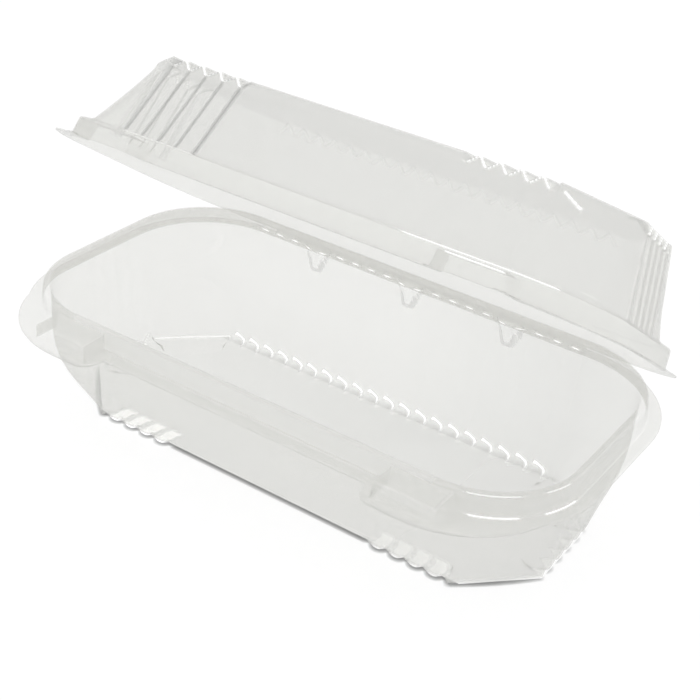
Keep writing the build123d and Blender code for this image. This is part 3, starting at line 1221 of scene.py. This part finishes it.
@dataclass
class Studio:
    """White table, soft lights and the camera of the photograph."""

    azimuth: float = 31.909
    elevation: float = 31.002
    roll: float = 4.911
    distance: float = 611.63
    target: tuple[float, float, float] = (-34.02, 66.38, 0.0)
    focal_px: float = 1393.94
    clip_start: float = 0.01
    table_size: float = 6.0
    table_drop: float = 0.05
    table_colour: str = "#868686"
    table_glow: float = 0.8
    table_level: float = 0.85
    contact_reach: float = 1.8
    contact_power: float = 1.6
    contact_samples: int = 4
    contact_span: float = 30.0
    contact_behind: float = 0.2
    foot_inset: float = 2.7
    room_level: float = 0.55
    key_side: tuple[float, float, float] = (-0.75, -0.1, 0.65)
    key_share: float = 0.06
    fill_level: float = 0.94
    soft_boxes: Sequence[SoftBox] = (
        SoftBox((-0.38, 0.42, 0.82), 3, 9, 3.0),
        SoftBox((0.35, 0.8, 0.5), 1, 12, 2.0),
    )

    def camera(self) -> None:
        """Set the camera at the photograph's viewing point."""
        turn, rise = math.radians(self.azimuth), math.radians(self.elevation)
        back = Vector((math.sin(turn) * math.cos(rise), -math.cos(turn) * math.cos(rise), math.sin(rise)))
        right = (-back).cross(Vector((0, 0, 1))).normalized()
        up = right.cross(-back)
        tilt = math.radians(self.roll)
        level = right * math.cos(tilt) + up * math.sin(tilt)
        head = up * math.cos(tilt) - right * math.sin(tilt)
        data = bpy.data.cameras.new("camera")
        data.sensor_width = SENSOR_MM
        data.lens = self.focal_px * SENSOR_MM / IMAGE_PX
        data.clip_start = self.clip_start
        camera = bpy.data.objects.new("camera", data)
        axes = Matrix((level, head, back)).transposed().to_4x4()
        camera.matrix_world = Matrix.Translation((Vector(self.target) + back * self.distance) * MM) @ axes
        bpy.context.scene.collection.objects.link(camera)
        bpy.context.scene.camera = camera

    def table(self, plan: SheetPlan) -> None:
        """Lay the white table that the pack stands on, shaded close to the pack's foot.

        Args:
            plan: Sizes of the pack.
        """
        half = self.table_size / 2
        mesh = bpy.data.meshes.new("table")
        corners = [(-half, -half, 0), (half, -half, 0), (half, half, 0), (-half, half, 0)]
        mesh.from_pydata(corners, [], [(0, 1, 2, 3)])
        material = bpy.data.materials.new("white_table")
        material.use_nodes = True
        tree = material.node_tree
        tree.nodes.clear()
        path = add_node(tree, "ShaderNodeLightPath").outputs
        place = add_node(tree, "ShaderNodeTexCoord").outputs["Object"]
        size = add_node(tree, "ShaderNodeVectorMath", {"operation": "ABSOLUTE"}, {0: place})
        part = add_node(tree, "ShaderNodeSeparateXYZ", {}, {0: size.outputs[0]}).outputs
        near = add_node(tree, "ShaderNodeAmbientOcclusion", {"samples": self.contact_samples},
                        {"Distance": self.contact_reach * MM})
        depth = add_node(tree, "ShaderNodeSeparateXYZ", {}, {0: place}).outputs["Y"]
        ahead = add_node(tree, "ShaderNodeMapRange", {}, {
            "Value": depth, "From Min": -self.contact_span * MM, "From Max": self.contact_span * MM,
            "To Min": 1.0, "To Max": self.contact_behind})
        half_x, half_y = plan.base_length / 2, plan.base_width / 2
        rule = (
            ("seen", "LESS_THAN", "mirrors", 0.5),
            ("beyond_end", "GREATER_THAN", "x", half_x * MM),
            ("beyond_front", "GREATER_THAN", "y", (half_y - self.foot_inset) * MM),
            ("both", "ADD", "x", "y"),
            ("beyond_corner", "GREATER_THAN", "both", (half_x + half_y - plan.base_corner) * MM),
            ("beyond", "MAXIMUM", "beyond_end", "beyond_front"),
            ("outside", "MAXIMUM", "beyond", "beyond_corner"),
            ("share", "MULTIPLY", "outside", "ahead"),
            ("closed", "SUBTRACT", 1.0, "open"),
            ("lost", "MULTIPLY", "share", "closed"),
            ("left", "SUBTRACT", 1.0, "lost"),
            ("dark", "POWER", "left", self.contact_power),
            ("level", "MULTIPLY", "dark", self.table_glow),
        )
        known = {"mirrors": path["Glossy Depth"], "x": part["X"], "y": part["Y"],
                 "ahead": ahead.outputs["Result"], "open": near.outputs["AO"]}
        for result, operation, first, second in rule:
            known[result] = add_node(tree, "ShaderNodeMath", {"operation": operation},
                                     {0: known.get(first, first), 1: known.get(second, second)}).outputs[0]
        matt = add_node(tree, "ShaderNodeBsdfDiffuse", {}, {"Color": linear_rgba(self.table_colour)})
        glow = add_node(tree, "ShaderNodeEmission", {}, {"Strength": known["level"]})
        lit = add_node(tree, "ShaderNodeAddShader", {}, {0: matt.outputs[0], 1: glow.outputs[0]})
        grey = add_node(tree, "ShaderNodeEmission", {}, {"Strength": self.table_level})
        shade = add_node(tree, "ShaderNodeMixShader", {},
                         {0: known["seen"], 1: grey.outputs[0], 2: lit.outputs[0]})
        fill = add_node(tree, "ShaderNodeEmission", {}, {"Strength": self.fill_level})
        whole = add_node(tree, "ShaderNodeMixShader", {},
                         {0: path["Is Diffuse Ray"], 1: shade.outputs[0], 2: fill.outputs[0]})
        add_node(tree, "ShaderNodeOutputMaterial", {}, {"Surface": whole.outputs[0]})
        mesh.materials.append(material)
        table = bpy.data.objects.new("table", mesh)
        table.location.z = -self.table_drop * MM
        bpy.context.scene.collection.objects.link(table)

    def world(self) -> None:
        """Light the room evenly: white to the eye, and grey with soft boxes in reflections."""
        world = bpy.data.worlds.new("studio")
        bpy.context.scene.world = world
        world.use_nodes = True
        world.cycles.sampling_method = "NONE"
        tree = world.node_tree
        tree.nodes.clear()
        path = add_node(tree, "ShaderNodeLightPath").outputs
        place = add_node(tree, "ShaderNodeTexCoord").outputs["Generated"]
        towards_key = add_node(tree, "ShaderNodeVectorMath", {"operation": "DOT_PRODUCT"},
                               {0: place, 1: Vector(self.key_side).normalized()})
        key = add_node(tree, "ShaderNodeMath", {"operation": "MULTIPLY_ADD"},
                       {0: towards_key.outputs["Value"], 1: self.key_share, 2: self.fill_level})
        seen = add_node(tree, "ShaderNodeMix", {"data_type": "FLOAT"},
                        {"Factor": path["Is Diffuse Ray"], "A": 1.0, "B": key.outputs[0]})
        white = add_node(tree, "ShaderNodeBackground", {},
                         {"Color": (1, 1, 1, 1), "Strength": seen.outputs["Result"]})
        level = self.room_level
        for box in self.soft_boxes:
            facing = add_node(tree, "ShaderNodeVectorMath", {"operation": "DOT_PRODUCT"},
                              {0: place, 1: Vector(box.towards).normalized()})
            inside = add_node(tree, "ShaderNodeMapRange", {"interpolation_type": "SMOOTHSTEP"}, {
                "Value": facing.outputs["Value"], "From Min": math.cos(math.radians(box.reach)),
                "From Max": math.cos(math.radians(box.core)), "To Min": 0.0, "To Max": box.level})
            level = add_node(tree, "ShaderNodeMath", {"operation": "ADD"},
                             {0: level, 1: inside.outputs["Result"]}).outputs[0]
        room = add_node(tree, "ShaderNodeBackground", {}, {"Color": (1, 1, 1, 1), "Strength": level})
        turned = add_node(tree, "ShaderNodeMath", {"operation": "MINIMUM"},
                          {0: path["Glossy Depth"], 1: 1.0})
        shade = add_node(tree, "ShaderNodeMixShader", {},
                         {0: turned.outputs[0], 1: white.outputs[0], 2: room.outputs[0]})
        add_node(tree, "ShaderNodeOutputWorld", {}, {"Surface": shade.outputs[0]})

    def build(self, plan: SheetPlan) -> None:
        """Set up the studio.

        Args:
            plan: Sizes of the pack.
        """
        self.camera()
        self.table(plan)
        self.world()
        scene = bpy.context.scene
        scene.view_settings.view_transform = "Standard"
        scene.cycles.max_bounces = 5
        scene.cycles.transparent_max_bounces = 40
        scene.cycles.glossy_bounces = 2
        scene.cycles.diffuse_bounces = 2


def main() -> None:
    """Build the pack and its studio."""
    logging.basicConfig(level=logging.INFO)
    plan = SheetPlan()
    columns = Columns(plan)
    plastic = ClearPlastic().make()
    for part in (Tray(plan, columns), Lid(plan, columns), LivingHinge(plan)):
        piece = part.build(plastic)
        LOG.info("%s: %d faces", piece.name, len(piece.data.polygons))
    Studio().build(plan)


if __name__ == "__main__":
    main()
